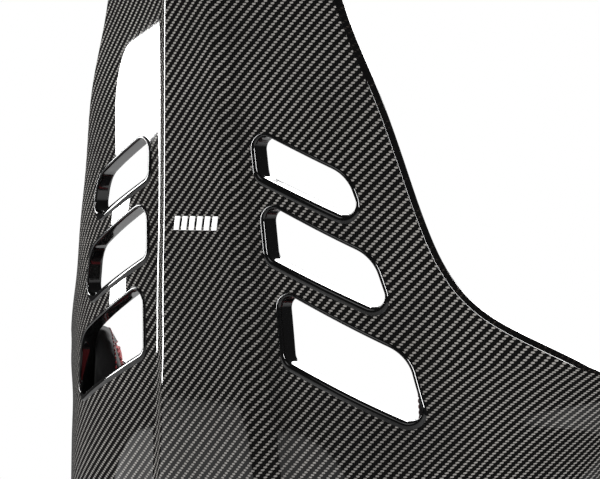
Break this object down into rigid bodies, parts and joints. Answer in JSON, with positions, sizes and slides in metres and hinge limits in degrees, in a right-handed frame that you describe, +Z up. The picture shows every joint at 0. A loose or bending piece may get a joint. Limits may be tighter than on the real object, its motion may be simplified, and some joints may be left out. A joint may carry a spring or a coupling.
{
  "type": "racing seat",
  "caption": "Fixed-back carbon-fibre bucket racing seat with vented back, padding, side mounts and slide rails with a release bar.",
  "frame": {"origin": "centre of the four floor bolt holes, at floor level", "axes": "+Z up, the sitter faces -Y, +X is the sitter's left"},
  "size_m": [0.6024, 0.6306, 0.9949],
  "materials": {
    "carbon_twill": "clear-coated 2x2 twill carbon laminate",
    "gloss_black_lip": "gloss black moulded lip",
    "badge_white": "plain pale bar, no lettering",
    "pad_knit_black": "black knitted cover",
    "pad_suede_black": "black suede-like cover with red stitching",
    "hook_tape": "hook-and-loop tape",
    "bracket_black": "black powder coat",
    "zinc_steel": "bright zinc plate",
    "insert_brass": "turned brass",
    "rail_black": "black electrophoretic coat",
    "runner_zinc": "zinc-plated steel",
    "nylon_white": "natural nylon",
    "lever_zinc": "zinc-plated steel",
    "spring_steel": "oiled spring wire",
    "bar_black": "black powder coat",
    "grip_rubber": "ribbed rubber"
  },
  "bodies": {
    "floor_rails": {"floor_rail_left": "rail_black", "floor_rail_right": "rail_black", "rail_stops_left": "rail_black", "rail_stops_right": "rail_black"},
    "seat": {"back_pad": "pad_knit_black", "crotch_belt_trim": "gloss_black_lip", "glides_left": "nylon_white", "glides_right": "nylon_white", "head_pad": "pad_knit_black", "hip_pad_left": "pad_suede_black", "hip_pad_right": "pad_suede_black", "hook_strips_back": "hook_tape", "hook_strips_seat": "hook_tape", "lap_belt_trim_left": "gloss_black_lip", "lap_belt_trim_right": "gloss_black_lip", "leg_cushion": "pad_knit_black", "lumbar_pad": "pad_knit_black", "pivot_pin_left": "lever_zinc", "pivot_pin_right": "lever_zinc", "rail_bolts_left": "zinc_steel", "rail_bolts_right": "zinc_steel", "return_spring_left": "spring_steel", "return_spring_right": "spring_steel", "runner_left": "runner_zinc", "runner_right": "runner_zinc", "seat_cushion": "pad_knit_black", "shell": "carbon_twill", "shell_inserts_left": "insert_brass", "shell_inserts_right": "insert_brass", "shoulder_belt_trim_left": "gloss_black_lip", "shoulder_belt_trim_right": "gloss_black_lip", "side_bolts_left": "zinc_steel", "side_bolts_right": "zinc_steel", "side_bracket_left": "bracket_black", "side_bracket_right": "bracket_black", "side_washers_left": "zinc_steel", "side_washers_right": "zinc_steel", "spine_badge": "badge_white", "thigh_pad_left": "pad_suede_black", "thigh_pad_right": "pad_suede_black", "vent_trim_left_1": "gloss_black_lip", "vent_trim_left_2": "gloss_black_lip", "vent_trim_left_3": "gloss_black_lip", "vent_trim_right_1": "gloss_black_lip", "vent_trim_right_2": "gloss_black_lip", "vent_trim_right_3": "gloss_black_lip", "wing_pad_left": "pad_suede_black", "wing_pad_right": "pad_suede_black"},
    "release": {"release_bar": "bar_black", "bar_grip": "grip_rubber", "latch_lever_left": "lever_zinc", "latch_lever_right": "lever_zinc"}
  },
  "joints": [
    {"name": "seat_slide", "type": "slide", "parent": "floor_rails", "child": "seat", "axis": [0, -1, 0], "range_m": [-0.085, 0.085]},
    {"name": "bar_lift", "type": "hinge", "parent": "seat", "child": "release", "pos_m": [0, -0.06, 0.022], "axis": [-1, 0, 0], "range_deg": [0, 6], "stiffness_Nm_per_rad": 25, "springref_deg": -6.88}
  ]
}
